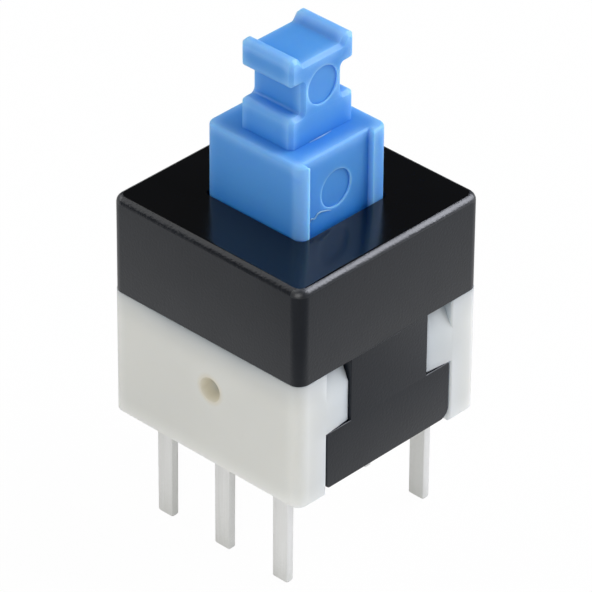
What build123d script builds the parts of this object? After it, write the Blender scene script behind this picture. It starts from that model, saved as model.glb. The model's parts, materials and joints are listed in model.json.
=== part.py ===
from build123d import *
import os
from math import asin, cos, degrees

# Self-locking push switch. Millimetres, +Z up, X along the pin rows.
# The origin is the centre of the base's underside, where the switch sits on its board.

os.makedirs("parts", exist_ok=True)

# Housing
body_side = 8.0
body_corner = 0.42
base_step = 0.01
base_edge = 0.08
parting_height = 4.49
cover_top = 7.9
cover_wall = 0.55
cover_roof = 0.8
cover_edge = 0.24
cover_inner_corner = 0.2
rim_play = 0.05
rim_gap = 0.2
rim_wall_x = 0.55
rim_wall_y = 0.6
rim_corner = 0.3
cavity_corner = 0.2
floor_thick = 1.0

# Snap legs of the cover and the lugs of the base that hold them
leg_side_inset = 1.26
leg_foot_reach = 1.04
leg_foot_top = 2.25
leg_bottom = 0.21
leg_inset = 0.02
leg_foot_corner = 0.08
leg_near_corner = 0.16
leg_far_corner = 0.36
leg_play = 0.04
lug_gap = 0.06
lug_recess = 0.11
lug_ramp_height = 1.03
lug_ramp_depth = 0.46
post_edge = 0.08

# Gate dimple in the base
gate_width = 0.84
gate_floor_width = 0.3
gate_depth = 0.42
gate_height = 2.73
gate_offset = 0.25

# Button
block_height = 2.55
block_corner = 0.34
block_edge = 0.12
hole_play = 0.05
hole_corner = 0.3
panel_near_rib = 0.36
panel_far_rib = 0.64
panel_depth = 0.24
stem_end_step = 0.96
stem_side_step = 0.525
stem_edge = 0.12
shoulder_height = 1.05
neck_height = 1.08
neck_notch = 0.52
head_height = 0.95
head_ridge_width = 0.34
head_ridge_run = 0.2
head_channel_depth = 0.27
stem_round = 0.19
stem_hollow = 0.1
ejector_share = 0.76
ejector_depth = 0.07
ejector_stem_height = 0.72
ejector_block_height = 1.05
flange_end_lip = 0.17
flange_side_lip = 0.4
latch_room = 0.65
contact_room = 0.5
flange_edge = 0.12
rest_gap = 0.05

# Travel of the button
full_travel = 2.3
bottom_gap = 0.15

# Guide ribs of the base
guide_rib_width = 0.5
guide_rib_inset = 0.55
guide_play = 0.06

# Return spring
spring_wire = 0.25
spring_wire_flats = 5
spring_side_wall = 1.0
spring_turns = 5
spring_play = 0.15
spring_pocket_roof = 1.05
spring_boss_play = 0.1
spring_boss_height = 0.6

# Latch: a bent wire in a heart-shaped groove
wire_width = 0.3
wire_flats = 6
wire_bend = 0.25
wire_tip_gap = 0.1
wire_seat_depth = 0.4
wire_seat_play = 0.03
wire_pivot_height = 0.45
latch_side_gap = 0.65
latch_home = 0.6
latch_notch = 1.45
groove_play = 0.06
groove_depth = 0.45

# Terminals
pin_end_inset = 0.35
pin_row_inset = 0.91
pin_width = 0.62
pin_thick = 0.28
pin_length = 3.75
pin_tip = 0.08
blade_width = 0.9
blade_foot = 0.35
blade_joggle = 0.3
blade_lead = 0.3

# Sliding contacts
contact_thick = 0.12
contact_tall = 0.8
contact_drop = 1.75
contact_gap = 0.02
contact_crest = 0.5
contact_trough = 0.8
contact_bend = 0.16
contact_end_gap = 0.12
contact_seat_depth = 0.15
contact_seat_play = 0.02
break_gap = 0.5
make_lead = 0.2

# Sizes and places worked out from those above
base_side = body_side + 2 * base_step
roof_under = cover_top - cover_roof
cover_inner = body_side - 2 * cover_wall
rim_side = cover_inner - 2 * rim_play
rim_top = roof_under - rim_gap
cavity_length = rim_side - 2 * rim_wall_x
cavity_width = rim_side - 2 * rim_wall_y
flange_length = cavity_length - 2 * latch_room
flange_width = cavity_width - 2 * contact_room
block_length = flange_length - 2 * flange_end_lip
block_width = flange_width - 2 * flange_side_lip
panel_width = block_width - panel_near_rib - panel_far_rib
panel_middle = (panel_near_rib - panel_far_rib) / 2
stem_length = block_length - 2 * stem_end_step
stem_width = block_width - 2 * stem_side_step
neck_width = stem_width - 2 * neck_notch
flange_top = roof_under - rest_gap
flange_bottom = floor_thick + full_travel + bottom_gap
block_top = cover_top + block_height
shoulder_top = block_top + shoulder_height
neck_top = shoulder_top + neck_height
head_top = neck_top + head_height
leg_foot_width = body_side - 2 * leg_side_inset
leg_neck_width = leg_foot_width - 2 * leg_foot_reach
lug_bottom = leg_foot_top + leg_play
slot_floor = rim_side / 2
slot_half = leg_foot_width / 2 + leg_play
lug_tip = leg_neck_width / 2 + lug_gap
contact_height = flange_top - contact_drop
contact_low = contact_height - contact_tall / 2
contact_high = contact_height + contact_tall / 2
pin_pitch = cavity_length / 2 - pin_end_inset
pin_row_spacing = base_side - 2 * pin_row_inset
spring_width = flange_length - 2 * spring_side_wall
spring_pocket_top = flange_top - spring_pocket_roof
shaft_place = (flange_length + cavity_length) / 4
tip_height = flange_bottom + latch_home
pivot_height = floor_thick + wire_pivot_height
latch_arm = tip_height - pivot_height
guide_rib_offset = flange_width / 2 - guide_rib_inset
latch_swing = guide_rib_offset - guide_rib_width / 2 - latch_side_gap
latch_angle = asin(latch_swing / latch_arm)
groove_rise = full_travel - latch_arm * (1 - cos(latch_angle))
groove_width = wire_width + 2 * groove_play

print("button travel", full_travel, "latch swing in degrees", round(degrees(latch_angle), 3))
print("latch pivot at", round(-shaft_place, 3), 0, pivot_height, "follower tip at", tip_height)


def finish(part, name):
    """Names a finished piece and writes its file."""
    part.label = name
    export_step(part, f"parts/{name}.step")
    return part


def side_plane(place, side):
    """Upright plane across X at a distance from the middle, seen from the outside of that side."""
    return Plane(origin=(side * place, 0, 0), x_dir=(0, side, 0), z_dir=(side, 0, 0))


# Terminals: stamped strips, each a pin, a foot in the floor and a contact face flush with the wall.
# The common strip is bare over the whole stroke, the normally closed one only at the top of it
# and the normally open one only at the bottom.
def make_terminal(name, place, side, bare_from, top):
    pin_in = pin_row_spacing / 2 - pin_thick / 2
    pin_out = pin_row_spacing / 2 + pin_thick / 2
    bare_in = cavity_width / 2
    bare_out = bare_in + pin_thick
    plane = Plane(origin=(place, 0, 0), x_dir=(0, side, 0), z_dir=(side, 0, 0))
    with BuildPart() as terminal:
        with BuildSketch(plane):
            with BuildLine():
                Polyline(
                    (pin_in, blade_foot), (pin_in, bare_from - blade_joggle), (bare_in, bare_from),
                    (bare_in, top), (bare_out, top), (bare_out, bare_from),
                    (pin_out, bare_from - blade_joggle), (pin_out, blade_foot), close=True,
                )
            make_face()
        extrude(amount=blade_width / 2, both=True)
        with BuildSketch(Plane.XY.offset(blade_foot)):
            with Locations((place, side * pin_row_spacing / 2)):
                Rectangle(pin_width, pin_thick)
        extrude(amount=-(blade_foot + pin_length))
        chamfer(terminal.faces().sort_by(Axis.Z)[0].edges(), pin_tip)
    return finish(terminal.part, name)


bare_low = floor_thick + blade_lead + blade_joggle
bare_top = contact_high + make_lead
terminals = []
for row, side in (("front", -1), ("back", 1)):
    closed_from = contact_low - make_lead
    open_top = contact_low - break_gap
    terminals.append(make_terminal(f"terminal_closed_{row}", -pin_pitch, side, closed_from, bare_top))
    terminals.append(make_terminal(f"terminal_common_{row}", 0, side, bare_low, bare_top))
    terminals.append(make_terminal(f"terminal_open_{row}", pin_pitch, side, bare_low, open_top))


# Base: a square tub with a stepped rim, moulded round the six terminals
with BuildPart() as base:
    with BuildSketch():
        RectangleRounded(base_side, base_side, body_corner)
    extrude(amount=parting_height)
    chamfer(base.faces().sort_by(Axis.Z)[0].edges(), base_edge)
    with BuildSketch(Plane.XY.offset(parting_height)):
        RectangleRounded(rim_side, rim_side, rim_corner)
    extrude(amount=rim_top - parting_height)
    with BuildSketch(Plane.XY.offset(floor_thick)):
        RectangleRounded(cavity_length, cavity_width, cavity_corner)
    extrude(amount=rim_top - floor_thick, mode=Mode.SUBTRACT)

    # Recess for each snap leg, open to the outside and below
    slot_depth = base_side / 2 - slot_floor
    for side in (1, -1):
        with BuildSketch(side_plane(slot_floor, side)):
            with Locations((0, parting_height / 2)):
                Rectangle(2 * slot_half, parting_height)
        extrude(amount=slot_depth, mode=Mode.SUBTRACT)
    post_edges = base.edges().filter_by(Axis.Z).filter_by(
        lambda edge: abs(abs(edge.center().X) - base_side / 2) < post_edge
        and abs(abs(edge.center().Y) - slot_half) < post_edge
    )
    fillet(post_edges, post_edge)

    # Ramped lugs beside the neck of each leg, above its foot: flush with the post, lower at the tip
    for side in (1, -1):
        for hand in (1, -1):
            with BuildSketch(Plane(origin=(0, hand * lug_tip, 0), x_dir=(side, 0, 0), z_dir=(0, hand, 0))):
                with BuildLine():
                    lean = side * hand
                    Polyline(
                        (slot_floor, -lean * lug_bottom), (base_side / 2, -lean * lug_bottom),
                        (base_side / 2, -lean * (parting_height - lug_ramp_height)),
                        (base_side / 2 - lug_ramp_depth, -lean * parting_height),
                        (slot_floor, -lean * parting_height), close=True,
                    )
                make_face()
            extrude(amount=slot_half - lug_tip + post_edge)
            with BuildSketch(Plane.XY.offset(lug_bottom)):
                with BuildLine():
                    Polyline(
                        (side * base_side / 2, hand * slot_half),
                        (side * (base_side / 2 - lug_recess), hand * lug_tip),
                        (side * (base_side / 2 + lug_recess), hand * lug_tip), close=True,
                    )
                make_face()
            extrude(amount=parting_height - lug_bottom, mode=Mode.SUBTRACT)

    # Boss that centres the spring, and ribs that guide the button
    with BuildSketch(Plane.XY.offset(floor_thick)):
        Circle(spring_width / 2 - spring_wire - spring_boss_play)
    extrude(amount=spring_boss_height)
    rib_from = flange_length / 2 + guide_play
    rib_length = cavity_length / 2 - rib_from
    with BuildSketch(Plane.XY.offset(floor_thick)):
        with GridLocations(2 * rib_from + rib_length, 2 * guide_rib_offset, 2, 2):
            Rectangle(rib_length, guide_rib_width)
    extrude(amount=rim_top - floor_thick)

    # Seat of the latch wire in the wall, and the gate dimple on the front
    with BuildSketch(side_plane(cavity_length / 2, -1)):
        with Locations((0, pivot_height)):
            Circle(wire_width / 2 + wire_seat_play)
    extrude(amount=wire_seat_depth, mode=Mode.SUBTRACT)
    with BuildSketch(Plane.XZ.offset(base_side / 2)):
        with Locations((gate_offset, gate_height)):
            Circle(gate_width / 2)
    with BuildSketch(Plane.XZ.offset(base_side / 2 - gate_depth)):
        with Locations((gate_offset, gate_height)):
            Circle(gate_floor_width / 2)
    loft(mode=Mode.SUBTRACT)

    for terminal in terminals:
        add(terminal, mode=Mode.SUBTRACT)
finish(base.part, "base")


# Cover: a shell with a hole for the button in its roof and an inverted-T snap leg on two sides
with BuildPart() as cover:
    with BuildSketch(Plane.XY.offset(parting_height)):
        RectangleRounded(body_side, body_side, body_corner)
    extrude(amount=cover_top - parting_height)
    fillet(cover.faces().sort_by(Axis.Z)[-1].edges(), cover_edge)
    with BuildSketch(Plane.XY.offset(parting_height)):
        RectangleRounded(cover_inner, cover_inner, cover_inner_corner)
    extrude(amount=roof_under - parting_height, mode=Mode.SUBTRACT)
    with BuildSketch(Plane.XY.offset(roof_under)):
        RectangleRounded(block_length + 2 * hole_play, block_width + 2 * hole_play, hole_corner)
    extrude(amount=cover_roof, mode=Mode.SUBTRACT)
    leg_half = leg_neck_width / 2
    foot_half = leg_foot_width / 2
    for side in (1, -1):
        with BuildSketch(side_plane(cover_inner / 2, side)) as leg:
            with BuildLine():
                Polyline(
                    (-leg_half, parting_height), (-leg_half, leg_foot_top), (-foot_half, leg_foot_top),
                    (-foot_half, leg_bottom), (foot_half, leg_bottom), (foot_half, leg_foot_top),
                    (leg_half, leg_foot_top), (leg_half, parting_height), close=True,
                )
            make_face()
            foot_level = leg.vertices().filter_by(lambda v: abs(v.Y - leg_foot_top) < leg_play)
            fillet([foot_level.sort_by(Axis.X)[0], foot_level.sort_by(Axis.X)[-1]], leg_foot_corner)
            fillet(leg.vertices().group_by(Axis.Y)[0].sort_by(Axis.X)[0], leg_near_corner)
            fillet(leg.vertices().group_by(Axis.Y)[0].sort_by(Axis.X)[-1], leg_far_corner)
        extrude(amount=cover_wall - leg_inset)
finish(cover.part, "cover")


# Button: a guided block with a spring pocket below and a necked head for a push-on cap above
with BuildPart() as button:
    with BuildSketch(Plane.XY.offset(flange_bottom)):
        RectangleRounded(flange_length, flange_width, flange_edge)
    extrude(amount=flange_top - flange_bottom)

    # Block through the roof, with a shallow panel between two ribs on the end that shows
    with BuildSketch(Plane.XY.offset(flange_top)) as block:
        RectangleRounded(block_length, block_width, block_corner)
        with Locations((block_length - panel_depth, panel_middle)):
            Rectangle(block_length, panel_width, mode=Mode.SUBTRACT)
    extrude(amount=block_top - flange_top)
    fillet(button.faces().sort_by(Axis.Z)[-1].edges(), block_edge)

    # Shoulder, neck and head share one profile
    with BuildSketch(Plane.YZ) as stem:
        stem_half = stem_width / 2
        neck_half = neck_width / 2
        ridge_in = stem_half - head_ridge_width
        channel_half = ridge_in - head_ridge_run
        channel_floor = head_top - head_channel_depth
        with BuildLine():
            Polyline(
                (-stem_half, block_top), (-stem_half, shoulder_top), (-neck_half, shoulder_top),
                (-neck_half, neck_top), (-stem_half, neck_top), (-stem_half, head_top),
                (-ridge_in, head_top), (-channel_half, channel_floor),
                (channel_half, channel_floor), (ridge_in, head_top), (stem_half, head_top),
                (stem_half, neck_top), (neck_half, neck_top), (neck_half, shoulder_top),
                (stem_half, shoulder_top), (stem_half, block_top), close=True,
            )
        make_face()
        notch_middle = neck_half + neck_notch / 2
        channel_middle = head_top - head_channel_depth / 2
        above = stem.vertices().filter_by(lambda v: v.Y > block_top + shoulder_height / 2)
        fillet(above.filter_by(lambda v: abs(v.X) < notch_middle and v.Y < channel_middle), stem_hollow)
        above = stem.vertices().filter_by(lambda v: v.Y > block_top + shoulder_height / 2)
        fillet(above.filter_by(lambda v: abs(v.X) > notch_middle or v.Y > channel_middle), stem_round)
    extrude(amount=stem_length / 2, both=True)
    stem_ends = button.faces().filter_by(Axis.X).filter_by(
        lambda face: face.center().Z > block_top and abs(face.center().X) > stem_length / 2 - stem_edge
    )
    chamfer(stem_ends.edges().filter_by(lambda edge: edge.center().Z > block_top + stem_edge), stem_edge)

    # Ejector marks on the face that shows
    for place, across, height in (
        (stem_length / 2, 0, shoulder_top + ejector_stem_height),
        (block_length / 2 - panel_depth, panel_middle, cover_top + ejector_block_height),
    ):
        with BuildSketch(side_plane(place, 1)):
            with Locations((across, height)):
                Circle(ejector_share * neck_width / 2)
        extrude(amount=-ejector_depth, mode=Mode.SUBTRACT)

    # Pocket for the return spring
    with BuildSketch(Plane.XY.offset(flange_bottom)):
        Circle(spring_width / 2 + spring_play)
    extrude(amount=spring_pocket_top - flange_bottom, mode=Mode.SUBTRACT)

    # Heart-shaped groove round an island: the follower climbs one slanted track as the button goes
    # down, drops into the notch on release and comes back by the other track after the next push
    groove_plane = Plane(origin=(-flange_length / 2, 0, tip_height), x_dir=(0, 1, 0), z_dir=(1, 0, 0))
    with BuildSketch(groove_plane):
        for lobe in (latch_swing, -latch_swing):
            SlotCenterPoint((lobe / 2, groove_rise / 2), (lobe, groove_rise), groove_width)
        SlotCenterPoint((0, groove_rise), (latch_swing, groove_rise), groove_width)
        Polygon((-latch_swing, groove_rise), (0, latch_notch), (latch_swing, groove_rise), align=None)
    extrude(amount=groove_depth, mode=Mode.SUBTRACT)

    # Seats of the two sliding contacts
    for side in (1, -1):
        seat_plane = Plane(
            origin=(0, side * flange_width / 2, contact_height), x_dir=(1, 0, 0), z_dir=(0, side, 0)
        )
        with BuildSketch(seat_plane):
            Rectangle(flange_length, contact_tall + 2 * contact_seat_play)
        extrude(amount=-contact_seat_depth, mode=Mode.SUBTRACT)
finish(button.part, "button")


# Sliding contacts: corrugated strips that bear on the button between their three crests
def make_contact(name, side):
    crest_line = cavity_width / 2 - contact_gap - contact_thick / 2
    trough_line = flange_width / 2 - contact_seat_depth + contact_seat_play + contact_thick / 2
    end = cavity_length / 2 - contact_end_gap
    half_wave = [
        (contact_crest / 2, crest_line),
        (pin_pitch / 2 - contact_trough / 2, trough_line),
        (pin_pitch / 2 + contact_trough / 2, trough_line),
        (pin_pitch - contact_crest / 2, crest_line),
        (end, crest_line),
    ]
    wave = [(-x, y) for x, y in reversed(half_wave)] + half_wave
    with BuildPart() as contact:
        with BuildSketch(Plane(origin=(0, 0, contact_low), x_dir=(side, 0, 0), z_dir=(0, 0, 1))):
            with BuildLine() as strip:
                FilletPolyline(*wave, radius=contact_bend)
            trace(strip.line, line_width=contact_thick)
        extrude(amount=contact_tall)
    return finish(contact.part, name)


make_contact("contact_front", -1)
make_contact("contact_back", 1)


# Latch wire: its lower end turns in the base's wall and its upper end follows the groove.
# It and the spring are drawn with flats round the wire, to keep the facets few.
with BuildPart() as latch_wire:
    with BuildLine(Plane.XZ) as route:
        FilletPolyline(
            (wire_tip_gap - wire_seat_depth - cavity_length / 2, pivot_height),
            (-shaft_place, pivot_height),
            (-shaft_place, tip_height),
            (groove_depth - wire_tip_gap - flange_length / 2, tip_height),
            radius=wire_bend,
        )
    with BuildSketch(Plane(origin=route.line @ 0, z_dir=route.line % 0)):
        RegularPolygon(wire_width / 2, side_count=wire_flats)
    sweep()
finish(latch_wire.part, "latch_wire")


# Return spring: a coil with both ends ground flat
with BuildPart() as return_spring:
    spring_length = spring_pocket_top - floor_thick
    with BuildLine() as coil:
        Helix(
            pitch=spring_length / spring_turns, height=spring_length,
            radius=(spring_width - spring_wire) / 2, center=(0, 0, floor_thick),
        )
    with BuildSketch(Plane(origin=coil.line @ 0, z_dir=coil.line % 0)):
        RegularPolygon(spring_wire / 2, side_count=spring_wire_flats)
    sweep(is_frenet=True)
    with BuildSketch(Plane.XY.offset(floor_thick)):
        Circle(spring_width)
    extrude(amount=spring_length, mode=Mode.INTERSECT)
finish(return_spring.part, "return_spring")
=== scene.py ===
import json
from math import cos, radians, sin

import bmesh
import bpy
from mathutils import Matrix, Vector

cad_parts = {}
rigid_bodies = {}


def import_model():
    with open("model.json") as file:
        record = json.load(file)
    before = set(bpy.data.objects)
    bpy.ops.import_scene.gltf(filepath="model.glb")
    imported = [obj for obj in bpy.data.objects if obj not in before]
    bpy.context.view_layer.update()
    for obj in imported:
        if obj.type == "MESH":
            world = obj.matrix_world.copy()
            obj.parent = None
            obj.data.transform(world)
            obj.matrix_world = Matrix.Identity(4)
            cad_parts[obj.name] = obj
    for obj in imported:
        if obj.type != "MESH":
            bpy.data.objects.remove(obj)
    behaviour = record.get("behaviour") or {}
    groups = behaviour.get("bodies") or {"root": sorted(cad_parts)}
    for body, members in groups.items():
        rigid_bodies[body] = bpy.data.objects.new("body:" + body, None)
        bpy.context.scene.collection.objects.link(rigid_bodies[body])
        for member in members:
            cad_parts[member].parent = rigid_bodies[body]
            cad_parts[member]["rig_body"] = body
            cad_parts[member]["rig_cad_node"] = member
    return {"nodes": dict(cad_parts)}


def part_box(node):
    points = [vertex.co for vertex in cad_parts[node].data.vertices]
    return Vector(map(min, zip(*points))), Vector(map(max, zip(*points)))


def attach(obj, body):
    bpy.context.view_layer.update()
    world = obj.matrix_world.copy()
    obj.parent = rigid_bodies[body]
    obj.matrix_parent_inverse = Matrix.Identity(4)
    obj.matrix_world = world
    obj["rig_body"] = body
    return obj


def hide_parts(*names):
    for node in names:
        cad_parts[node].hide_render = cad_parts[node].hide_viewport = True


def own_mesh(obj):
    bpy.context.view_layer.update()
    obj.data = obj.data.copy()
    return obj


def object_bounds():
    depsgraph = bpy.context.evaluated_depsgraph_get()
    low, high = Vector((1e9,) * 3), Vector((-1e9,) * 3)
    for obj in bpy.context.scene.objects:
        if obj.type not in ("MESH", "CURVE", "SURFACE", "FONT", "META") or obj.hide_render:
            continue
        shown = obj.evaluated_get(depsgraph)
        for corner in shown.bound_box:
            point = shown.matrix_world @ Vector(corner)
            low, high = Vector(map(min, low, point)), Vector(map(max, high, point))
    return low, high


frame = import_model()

# Self-locking push switch, dressed for the picture. Metres, in the frame of the CAD model:
# +Z up through the button, X along the pin rows, the origin in the middle of the base's underside.

cad_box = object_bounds()

MM = 0.001

# The picture: a long lens, a little turned about its own axis
PICTURE_SIZE = 592
FOCAL_PIXELS = 5500
SENSOR = 36.0
CAMERA_AZIMUTH = radians(43.579)
CAMERA_ELEVATION = radians(33.548)
CAMERA_ROLL = radians(0.443)
CAMERA_DISTANCE = 169.52 * MM
TARGET_RIGHT = 0.0166 * MM
TARGET_HEIGHT = 4.1428 * MM

# Level ways across the picture and towards the camera
ACROSS = Vector((cos(CAMERA_AZIMUTH), sin(CAMERA_AZIMUTH), 0))
NEAR = Vector((sin(CAMERA_AZIMUTH), -cos(CAMERA_AZIMUTH), 0))

# Places on the object that the finishes and the mould radii follow
roof_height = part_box("cover")[1].z
leg_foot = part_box("cover")[0].z
seat_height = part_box("base")[0].z
front_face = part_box("base")[0].y
half_base = -front_face
parting_height = 4.49 * MM


# Finishes

def linear(code):
    """An sRGB hex colour as linear red, green, blue and alpha."""
    parts = [int(code[i:i + 2], 16) / 255 for i in (1, 3, 5)]
    return [p / 12.92 if p <= 0.04045 else ((p + 0.055) / 1.055) ** 2.4 for p in parts] + [1.0]


def plug(tree, node, inputs):
    """Gives each named input of a node a value or a link."""
    for name, value in inputs.items():
        if isinstance(value, bpy.types.NodeSocket):
            tree.links.new(value, node.inputs[name])
        else:
            node.inputs[name].default_value = value


def add_node(tree, kind, settings=None, inputs=None):
    """Adds a node, sets its own properties and plugs its inputs."""
    node = tree.nodes.new(kind)
    for name, value in (settings or {}).items():
        setattr(node, name, value)
    plug(tree, node, inputs or {})
    return node


def new_finish(name):
    """An empty material with its shader, and the place on the piece in metres."""
    finish = bpy.data.materials.new(name)
    finish.use_nodes = True
    tree = finish.node_tree
    shader = tree.nodes["Principled BSDF"]
    place = add_node(tree, "ShaderNodeTexCoord").outputs["Object"]
    return finish, tree, shader, place


def per_mm(size):
    """The texture scale at which one cell of a pattern is this many millimetres wide."""
    return 1 / (size * MM)


def closed_in(tree, reach, inside, closed, free):
    """How closed in a place is within this reach, from 0 to 1: in hollows, or inside the piece, at edges."""
    settings = {"samples": 8, "inside": inside, "only_local": inside}
    sky = add_node(tree, "ShaderNodeAmbientOcclusion", settings, {"Distance": reach}).outputs["AO"]
    return add_node(tree, "ShaderNodeMapRange", inputs={
        "Value": sky, "From Min": closed, "From Max": free, "To Min": 1.0, "To Max": 0.0,
    }).outputs["Result"]


# Most of a noise pattern lies between these
NOISE_LOW, NOISE_HIGH = 0.3, 0.7


def black_moulded_pbt(name, deep, pale, smoothest, roughest, grain_depth, ior):
    """Glass-filled PBT: near black and a little blue, with fine grain from the mould that shows where
    the surface turns towards a lamp."""
    finish, tree, shader, place = new_finish(name)
    # The real grain is finer, and is drawn this coarse to show
    grain_size, cloud_size = 0.085, 1.6
    grain = add_node(tree, "ShaderNodeTexNoise", inputs={
        "Vector": place, "Scale": per_mm(grain_size), "Detail": 2.0,
    }).outputs["Fac"]
    cloud = add_node(tree, "ShaderNodeTexNoise", inputs={
        "Vector": place, "Scale": per_mm(cloud_size), "Detail": 3.0,
    }).outputs["Fac"]
    colour = add_node(tree, "ShaderNodeMix", {"data_type": "RGBA"}, {
        0: grain, 6: linear(deep), 7: linear(pale),
    }).outputs[2]
    roughness = add_node(tree, "ShaderNodeMapRange", inputs={
        "Value": cloud, "From Min": NOISE_LOW, "From Max": NOISE_HIGH,
        "To Min": smoothest, "To Max": roughest,
    }).outputs["Result"]
    bump = add_node(tree, "ShaderNodeBump", inputs={
        "Strength": 1.0, "Distance": grain_depth, "Height": grain,
    }).outputs["Normal"]
    plug(tree, shader, {"Base Color": colour, "Roughness": roughness, "IOR": ior, "Normal": bump})
    return finish


def milky_moulded_nylon():
    """Unfilled nylon, moulded: milky white that lets light in a little, with paler colour painted at its
    edges as glow, painted cool shade in its hollows and lugs, painted shade below the cover, and warm
    painted shade where the mould was filled."""
    finish, tree, shader, place = new_finish("milky_moulded_nylon")
    cloud_size, skin_size, skin_depth = 2.4, 0.22, 0.01 * MM
    gate_place = Vector((0.25 * MM, front_face, 2.73 * MM))
    gate_shade_near, gate_shade_far, gate_shade_share = 0.3 * MM, 0.62 * MM, 0.75
    hollow_reach, edge_reach, cover_reach = 1.2 * MM, 0.7 * MM, 1.3 * MM
    lug_tip, post_edge, lug_share = 1.7 * MM, 4.1 * MM, 0.6
    lug_floor, lug_ramp = 3.2 * MM, 3.4 * MM
    grey_fall, grey_middle, grey_at_corner = 2.4, 1.5 * MM, 0.55
    cloud = add_node(tree, "ShaderNodeTexNoise", inputs={
        "Vector": place, "Scale": per_mm(cloud_size), "Detail": 2.0,
    }).outputs["Fac"]
    # Painted shade: a warm tone in the gate dimple, round the place where the mould was filled
    from_gate = add_node(tree, "ShaderNodeVectorMath", {"operation": "DISTANCE"}, {
        0: place, 1: gate_place,
    }).outputs["Value"]
    painted_gate_shade = add_node(tree, "ShaderNodeMapRange", {"interpolation_type": "SMOOTHSTEP"}, {
        "Value": from_gate, "From Min": gate_shade_near, "From Max": gate_shade_far,
        "To Min": gate_shade_share, "To Max": 0.0,
    }).outputs["Result"]
    # Painted shade: a cooler grey in the hollows
    hollow_shade = closed_in(tree, hollow_reach, inside=False, closed=0.3, free=0.95)
    # Painted glow: a paler colour at the convex edges, where light would leave through the thin plastic
    edge = closed_in(tree, edge_reach, inside=True, closed=0.5, free=0.98)
    # Painted shade on the lugs, which are thin so the black legs behind them would show through, less
    # towards the posts' outer edges
    side = add_node(tree, "ShaderNodeVectorMath", {"operation": "ABSOLUTE"}, {0: place}).outputs["Vector"]
    side = add_node(tree, "ShaderNodeSeparateXYZ", inputs={"Vector": side}).outputs
    along = add_node(tree, "ShaderNodeMapRange", inputs={
        "Value": side["Y"], "From Min": lug_tip, "From Max": post_edge, "To Min": lug_share, "To Max": 0.0,
    }).outputs["Result"]
    thin = add_node(tree, "ShaderNodeMapRange", inputs={
        "Value": side["X"], "From Min": lug_floor, "From Max": lug_ramp, "To Max": along,
    }).outputs["Result"]
    painted_cool_shade = add_node(tree, "ShaderNodeMath", {"operation": "MAXIMUM"}, {0: hollow_shade, 1: thin}).outputs[0]
    # Painted shade from the cover on the walls just below the parting line, less so towards the corners
    height = add_node(tree, "ShaderNodeSeparateXYZ", inputs={"Vector": place}).outputs["Z"]
    below_cover = add_node(tree, "ShaderNodeMapRange", inputs={
        "Value": height, "From Min": parting_height - cover_reach, "From Max": parting_height,
    }).outputs["Result"]
    falling = add_node(tree, "ShaderNodeMath", {"operation": "POWER"}, {
        0: below_cover, 1: grey_fall,
    }).outputs[0]
    amid = add_node(tree, "ShaderNodeMapRange", inputs={
        "Value": side["X"], "From Min": grey_middle, "From Max": half_base,
        "To Min": 1.0, "To Max": grey_at_corner,
    }).outputs["Result"]
    painted_cover_shade = add_node(tree, "ShaderNodeMath", {"operation": "MULTIPLY"}, {0: falling, 1: amid}).outputs[0]
    colour = linear("#d9d9d2")
    # Laid over the base colour: a random cloud tone, then the painted glow, painted cool shade, painted
    # shade below the cover and warm painted shade at the gate
    for share, tone in (
        (cloud, "#e0e0d9"), (edge, "#efefe9"), (painted_cool_shade, "#adb9c2"), (painted_cover_shade, "#a0a6a8"), (painted_gate_shade, "#d2c6a6"),
    ):
        colour = add_node(tree, "ShaderNodeMix", {"data_type": "RGBA"}, {
            0: share, 6: colour, 7: linear(tone),
        }).outputs[2]
    skin = add_node(tree, "ShaderNodeTexNoise", inputs={
        "Vector": place, "Scale": per_mm(skin_size), "Detail": 3.0,
    }).outputs["Fac"]
    bump = add_node(tree, "ShaderNodeBump", inputs={
        "Strength": 0.12, "Distance": skin_depth, "Height": skin,
    }).outputs["Normal"]
    plug(tree, shader, {
        "Base Color": colour, "Roughness": 0.42, "IOR": 1.53, "Normal": bump,
        "Subsurface Weight": 0.5, "Subsurface Radius": (1.0, 0.95, 0.85), "Subsurface Scale": 0.7 * MM,
    })
    return finish


def blue_acetal():
    """Acetal, moulded and waxy: an even blue that light enters and leaves again, with paler blue painted on
    corners and ribs as glow and deeper blue painted in hollows as shade, under a soft sheen."""
    finish, tree, shader, place = new_finish("blue_acetal")
    cloud_size, skin_size, skin_depth = 1.5, 0.12, 0.008 * MM
    hollow_reach, edge_reach = 1.0 * MM, 0.48 * MM
    smoothest, roughest = 0.36, 0.46
    cloud = add_node(tree, "ShaderNodeTexNoise", inputs={
        "Vector": place, "Scale": per_mm(cloud_size), "Detail": 2.0,
    }).outputs["Fac"]
    # Painted shade: a deeper blue in the hollows
    hollow_shade = closed_in(tree, hollow_reach, inside=False, closed=0.35, free=0.95)
    # Painted glow and highlight: a paler blue at the corners and ribs
    edge = closed_in(tree, edge_reach, inside=True, closed=0.5, free=0.94)
    colour = linear("#4d96dc")
    for share, tone in ((cloud, "#559be0"), (hollow_shade, "#2a83dc"), (edge, "#8ac1f0")):
        colour = add_node(tree, "ShaderNodeMix", {"data_type": "RGBA"}, {
            0: share, 6: colour, 7: linear(tone),
        }).outputs[2]
    skin = add_node(tree, "ShaderNodeTexNoise", inputs={
        "Vector": place, "Scale": per_mm(skin_size), "Detail": 3.0,
    }).outputs["Fac"]
    roughness = add_node(tree, "ShaderNodeMapRange", inputs={
        "Value": skin, "From Min": NOISE_LOW, "From Max": NOISE_HIGH,
        "To Min": smoothest, "To Max": roughest,
    }).outputs["Result"]
    bump = add_node(tree, "ShaderNodeBump", inputs={
        "Strength": 0.15, "Distance": skin_depth, "Height": skin,
    }).outputs["Normal"]
    plug(tree, shader, {
        "Base Color": colour, "Roughness": roughness, "IOR": 1.48, "Normal": bump,
        "Subsurface Weight": 0.8, "Subsurface Radius": (0.4, 0.7, 1.0), "Subsurface Scale": 0.4 * MM,
    })
    return finish


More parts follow.
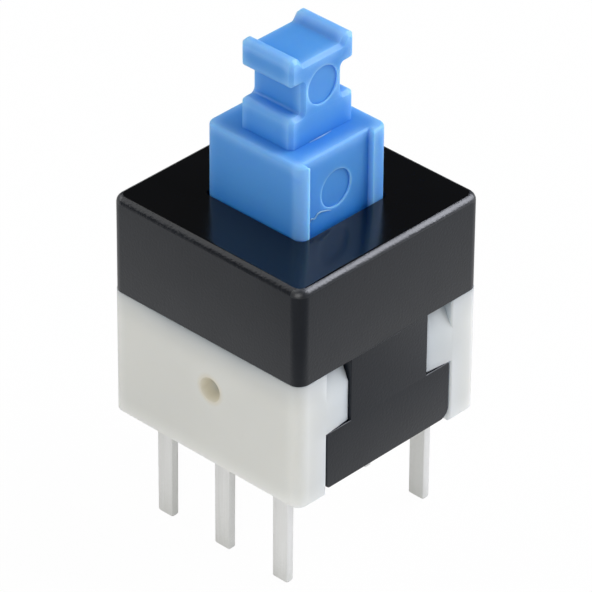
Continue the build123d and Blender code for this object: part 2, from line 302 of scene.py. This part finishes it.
def drawn_metal(name, pale, dark, shelter_shade_tone, smoothest, roughest, streak_size, metallic):
    """A plated or drawn strip: metal with fine streaks along Z, the way it was drawn, and a duller tone
    painted as shade where the body shelters it."""
    finish, tree, shader, place = new_finish(name)
    # The streaks are drawn wider than the real die lines, to show
    streak_stretch, streak_depth = 0.04, 0.003 * MM
    shelter_reach = 8 * MM
    drawn = add_node(tree, "ShaderNodeMapping", inputs={
        "Vector": place, "Scale": (1.0, 1.0, streak_stretch),
    }).outputs["Vector"]
    streaks = add_node(tree, "ShaderNodeTexNoise", inputs={
        "Vector": drawn, "Scale": per_mm(streak_size), "Detail": 4.0,
    }).outputs["Fac"]
    # Painted shade: a duller tone where the body shelters the metal
    painted_shelter_shade = closed_in(tree, shelter_reach, inside=False, closed=0.33, free=0.53)
    colour = linear(pale)
    for share, tone in ((streaks, dark), (painted_shelter_shade, shelter_shade_tone)):
        colour = add_node(tree, "ShaderNodeMix", {"data_type": "RGBA"}, {
            0: share, 6: colour, 7: linear(tone),
        }).outputs[2]
    roughness = add_node(tree, "ShaderNodeMapRange", inputs={
        "Value": streaks, "From Min": NOISE_LOW, "From Max": NOISE_HIGH,
        "To Min": smoothest, "To Max": roughest,
    }).outputs["Result"]
    bump = add_node(tree, "ShaderNodeBump", inputs={
        "Strength": 0.2, "Distance": streak_depth, "Height": streaks,
    }).outputs["Normal"]
    plug(tree, shader, {"Base Color": colour, "Roughness": roughness, "Metallic": metallic, "Normal": bump})
    return finish


# Spark-eroded walls: satin, with grain
cover_finish = black_moulded_pbt(
    "satin_black_pbt", "#0c1118", "#131922", 0.28, 0.36, grain_depth=0.006 * MM, ior=1.52)
# The roof of the same piece, polished in the mould: it mirrors the button
roof_finish = black_moulded_pbt(
    "polished_black_pbt", "#010204", "#020306", 0.16, 0.2, grain_depth=0.0006 * MM, ior=1.55)
# The roof's rounded edges, where the grain is coarser and sparkles: over the legs they mirror more strongly,
# a painted highlight
highlight_edge_finish = black_moulded_pbt(
    "black_pbt_edge_highlight", "#0c1118", "#131922", 0.3, 0.4, grain_depth=0.012 * MM, ior=1.8)
edge_finish = black_moulded_pbt(
    "grainy_black_pbt", "#0a0e14", "#11161e", 0.24, 0.3, grain_depth=0.02 * MM, ior=1.48)
base_finish = milky_moulded_nylon()
button_finish = blue_acetal()
# Matt tin over brass strip: pale, with soft streaks along the pin and little mirror in it
tin_finish = drawn_metal(
    "tinned_brass_strip", "#fbfbf9", "#e6e6e1", "#d0d0cb", 0.34, 0.46, streak_size=0.09, metallic=0.2)
# Bare phosphor bronze: warm, rolled bright
bronze_finish = drawn_metal(
    "rolled_phosphor_bronze", "#c8935c", "#b57f4a", "#ad7844", 0.22, 0.34, streak_size=0.05, metallic=1.0)
# Drawn spring wire: bright grey with die lines
steel_finish = drawn_metal(
    "drawn_spring_steel", "#b9bbbd", "#a2a4a7", "#989a9d", 0.2, 0.3, streak_size=0.04, metallic=1.0)


# Pieces

MERGE = 0.001 * MM
COPLANAR = radians(0.5)
SHARP = radians(38)
SMOOTH = radians(32)


def select_only(piece):
    """Makes this piece the one that the operators act on."""
    bpy.ops.object.select_all(action="DESELECT")
    piece.select_set(True)
    bpy.context.view_layer.objects.active = piece


def dress(node_name, piece_name, body, finish):
    """A merged copy of a CAD node that stands for it, on the same body, with its own finish."""
    select_only(frame["nodes"][node_name])
    bpy.ops.object.duplicate()
    piece = bpy.context.active_object
    bpy.ops.object.parent_clear(type="CLEAR")
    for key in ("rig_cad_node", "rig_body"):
        del piece[key]
    piece.name = piece_name
    piece.data.name = piece_name
    piece.data.materials.clear()
    piece.data.materials.append(finish)
    bpy.ops.mesh.customdata_custom_splitnormals_clear()
    bpy.ops.object.mode_set(mode="EDIT")
    bpy.ops.mesh.select_all(action="SELECT")
    bpy.ops.mesh.remove_doubles(threshold=MERGE)
    bpy.ops.mesh.dissolve_limited(angle_limit=COPLANAR)
    bpy.ops.object.mode_set(mode="OBJECT")
    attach(piece, body)
    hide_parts(node_name)
    return piece


def soften(piece, width, wanted):
    """Rounds the sharp outer edges whose middle is wanted."""
    select_only(piece)
    bpy.ops.object.mode_set(mode="EDIT")
    bpy.ops.mesh.select_mode(type="EDGE")
    bpy.ops.mesh.select_all(action="DESELECT")
    mesh = bmesh.from_edit_mesh(piece.data)
    for edge in mesh.edges:
        middle = (edge.verts[0].co + edge.verts[1].co) / 2
        edge.select_set(edge.is_convex and edge.calc_face_angle(0) > SHARP and wanted(middle))
    bmesh.update_edit_mesh(piece.data)
    bpy.ops.mesh.bevel(offset=width, segments=3, affect="EDGES", clamp_overlap=True)
    bpy.ops.object.mode_set(mode="OBJECT")


def flash(name, body, finish, thickness, points):
    """A thread of plastic that was squeezed out where the mould closes, through points in millimetres."""
    thin_end = 0.4
    bpy.ops.object.select_all(action="DESELECT")
    bpy.ops.curve.primitive_bezier_curve_add()
    thread = bpy.context.active_object
    thread.name = name
    line = thread.data.splines[0]
    line.bezier_points.add(len(points) - 2)
    for knot, point in zip(line.bezier_points, points):
        knot.co = Vector(point) * MM
        knot.handle_left_type = knot.handle_right_type = "AUTO"
    line.bezier_points[0].radius = line.bezier_points[-1].radius = thin_end
    thread.data.resolution_u = 6
    thread.data.bevel_depth = thickness / 2
    thread.data.bevel_resolution = 2
    thread.data.use_fill_caps = True
    bpy.ops.object.convert(target="MESH")
    thread.data.name = name
    thread.data.materials.append(finish)
    bpy.ops.object.shade_smooth()
    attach(thread, body)


cover = dress("cover", "cover_shell", "housing", cover_finish)
base = dress("base", "base_tub", "housing", base_finish)
button = dress("button", "push_button", "plunger", button_finish)
strips = [
    dress(f"terminal_{use}_{row}", f"strip_{use}_{row}", "housing", tin_finish)
    for row in ("front", "back") for use in ("closed", "common", "open")
]
slides = [
    dress(f"contact_{row}", f"slide_{row}", "plunger", bronze_finish)
    for row in ("front", "back")
]
hook = dress("latch_wire", "latch_hook", "latch", steel_finish)
coil = dress("return_spring", "button_coil", "housing", steel_finish)

# Mould radii too small for the CAD model: on the outside of the base, and on the legs below the cover's wall
outer_depth, leg_height = 0.6 * MM, 5 * MM
soften(button, 0.05 * MM, lambda middle: middle.z > roof_height)
soften(base, 0.05 * MM, lambda middle: max(abs(middle.x), abs(middle.y)) > half_base - outer_depth)
soften(cover, 0.04 * MM, lambda middle: middle.z < leg_foot + leg_height)
for strip in strips:
    soften(strip, 0.03 * MM, lambda middle: middle.z < seat_height)

# The roof takes the polished finish, and its rounded edges take theirs
SATIN, POLISHED, HIGHLIGHTED, GRAINY = range(4)
roof_skin, edge_start = 0.01 * MM, 3.5 * MM
facing_up, tilted = 0.5, 0.1
for finish in (roof_finish, highlight_edge_finish, edge_finish):
    cover.data.materials.append(finish)
for face in cover.data.polygons:
    from_axis = max(abs(face.center.x), abs(face.center.y))
    if face.normal.z > facing_up and face.center.z > roof_height - roof_skin:
        face.material_index = POLISHED
    elif face.normal.z > tilted and from_axis > edge_start:
        # The edges over the legs take the stronger mirror, a painted highlight
        face.material_index = HIGHLIGHTED if abs(face.normal.x) > tilted else GRAINY
    else:
        face.material_index = SATIN

for piece in (cover, base, button, hook, coil, *strips, *slides):
    select_only(piece)
    bpy.ops.object.shade_smooth_by_angle(angle=SMOOTH)

flash("panel_flash", "plunger", button_finish, 0.045 * MM, [
    (1.8, -1.3, 8.2), (1.81, -1.23, 8.34), (1.81, -1.12, 8.29), (1.81, -0.93, 8.41), (1.81, -0.62, 8.36),
    (1.8, -0.36, 8.26),
])
flash("shoulder_flash", "plunger", button_finish, 0.04 * MM, [
    (1.1, -0.58, 10.46), (1.12, -0.1, 10.47), (1.1, 0.34, 10.46),
])
for hand, wall in (("right", 4.0), ("left", -4.0)):
    flash(f"leg_witness_line_{hand}", "housing", cover_finish, 0.018 * MM, [
        (wall, along, parting_height / MM) for along in (-1.5, 0.0, 1.5)
    ])

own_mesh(coil)


# Studio: a white floor under the pins, a softbox each side, a card in front and a dim room

def white_floor():
    """White card: it shows as plain white, with a trace of the shadow that falls on it, and greyer in
    what mirrors it, the more so near the camera."""
    finish, tree, shader, place = new_finish("white_card")
    seen_share, mirrored_level, dim_level = 0.98, 0.65, 0.25
    dim_from, dim_to = 7 * MM, 14 * MM
    plug(tree, shader, {"Base Color": linear("#e8e8e8"), "Roughness": 0.9})
    ray = add_node(tree, "ShaderNodeLightPath").outputs
    mirrored = add_node(tree, "ShaderNodeMath", {"operation": "MAXIMUM"}, {
        0: ray["Is Glossy Ray"], 1: ray["Is Transmission Ray"],
    }).outputs[0]
    share = add_node(tree, "ShaderNodeMath", {"operation": "MULTIPLY_ADD"}, {
        0: ray["Is Camera Ray"], 1: seen_share, 2: mirrored,
    }).outputs[0]
    nearness = add_node(tree, "ShaderNodeVectorMath", {"operation": "DOT_PRODUCT"}, {
        0: place, 1: NEAR,
    }).outputs["Value"]
    dimming = add_node(tree, "ShaderNodeMapRange", {"interpolation_type": "SMOOTHSTEP"}, {
        "Value": nearness, "From Min": dim_from, "From Max": dim_to,
        "To Min": mirrored_level, "To Max": dim_level,
    }).outputs["Result"]
    level = add_node(tree, "ShaderNodeMath", {"operation": "MAXIMUM"}, {
        0: ray["Is Camera Ray"], 1: dimming,
    }).outputs[0]
    glow = add_node(tree, "ShaderNodeEmission", inputs={"Color": linear("#ffffff"), "Strength": level})
    mixed = add_node(tree, "ShaderNodeMixShader", inputs={
        0: share, 1: shader.outputs["BSDF"], 2: glow.outputs["Emission"],
    })
    plug(tree, tree.nodes["Material Output"], {"Surface": mixed.outputs[0]})
    return finish


FLOOR_SIZE = 6.0
bpy.ops.object.select_all(action="DESELECT")
bpy.ops.mesh.primitive_plane_add(size=FLOOR_SIZE, location=(0, 0, cad_box[0].z))
floor = bpy.context.active_object
floor.name = "floor"
floor.data.materials.append(white_floor())


def dim_room():
    """A grey room that lights from all round, and darkens towards the wall high behind the object."""
    room = bpy.data.worlds.new("dim_room")
    bpy.context.scene.world = room
    room.use_nodes = True
    tree = room.node_tree
    dark_way = (Vector((0, 0, 0.75)) - NEAR).normalized()
    dark_from, dark_to = 0.35, 0.8
    wall_level, dark_level = 0.19, 0.05
    way = add_node(tree, "ShaderNodeTexCoord").outputs["Generated"]
    towards = add_node(tree, "ShaderNodeVectorMath", {"operation": "DOT_PRODUCT"}, {
        0: way, 1: dark_way,
    }).outputs["Value"]
    shade = add_node(tree, "ShaderNodeMapRange", {"interpolation_type": "SMOOTHSTEP"}, {
        "Value": towards, "From Min": dark_from, "From Max": dark_to,
        "To Min": wall_level, "To Max": dark_level,
    }).outputs["Result"]
    plug(tree, tree.nodes["Background"], {"Color": shade})


dim_room()


def softbox(name, right, forward, height, width, tall, power, tint="#ffffff"):
    """A lamp, placed as the camera sees it: to its right, towards it and above the object."""
    place = ACROSS * right + NEAR * forward + Vector((0, 0, height))
    bpy.ops.object.light_add(type="AREA", location=place)
    lamp = bpy.context.active_object
    lamp.name = name
    lamp.rotation_euler = place.to_track_quat("Z", "Y").to_euler()
    lamp.data.shape = "RECTANGLE"
    lamp.data.size = width
    lamp.data.size_y = tall
    lamp.data.energy = power
    lamp.data.color = linear(tint)[:3]
    lamp.visible_camera = False


softbox("softbox_right", right=0.34, forward=-0.1, height=0.26,
        width=0.4, tall=0.38, power=2.45, tint="#f3f5ff")
softbox("softbox_left", right=-0.29, forward=-0.15, height=0.37, width=0.55, tall=0.55, power=1.3)
softbox("card_front", right=-0.12, forward=0.43, height=0.16, width=0.4, tall=0.4, power=0.95)


# Camera
toward = NEAR * cos(CAMERA_ELEVATION) + Vector((0, 0, sin(CAMERA_ELEVATION)))
upright = toward.cross(ACROSS)
right = ACROSS * cos(CAMERA_ROLL) + upright * sin(CAMERA_ROLL)
up = upright * cos(CAMERA_ROLL) - ACROSS * sin(CAMERA_ROLL)
stand = ACROSS * TARGET_RIGHT + Vector((0, 0, TARGET_HEIGHT)) + toward * CAMERA_DISTANCE
bpy.ops.object.camera_add()
camera = bpy.context.active_object
camera.matrix_world = Matrix.Translation(stand) @ Matrix((right, up, toward)).transposed().to_4x4()
camera.data.sensor_width = SENSOR
camera.data.lens = FOCAL_PIXELS / PICTURE_SIZE * SENSOR
camera.data.clip_start = CAMERA_DISTANCE / 10
camera.data.clip_end = 2 * FLOOR_SIZE
bpy.context.scene.camera = camera
bpy.context.scene.view_settings.view_transform = "Standard"
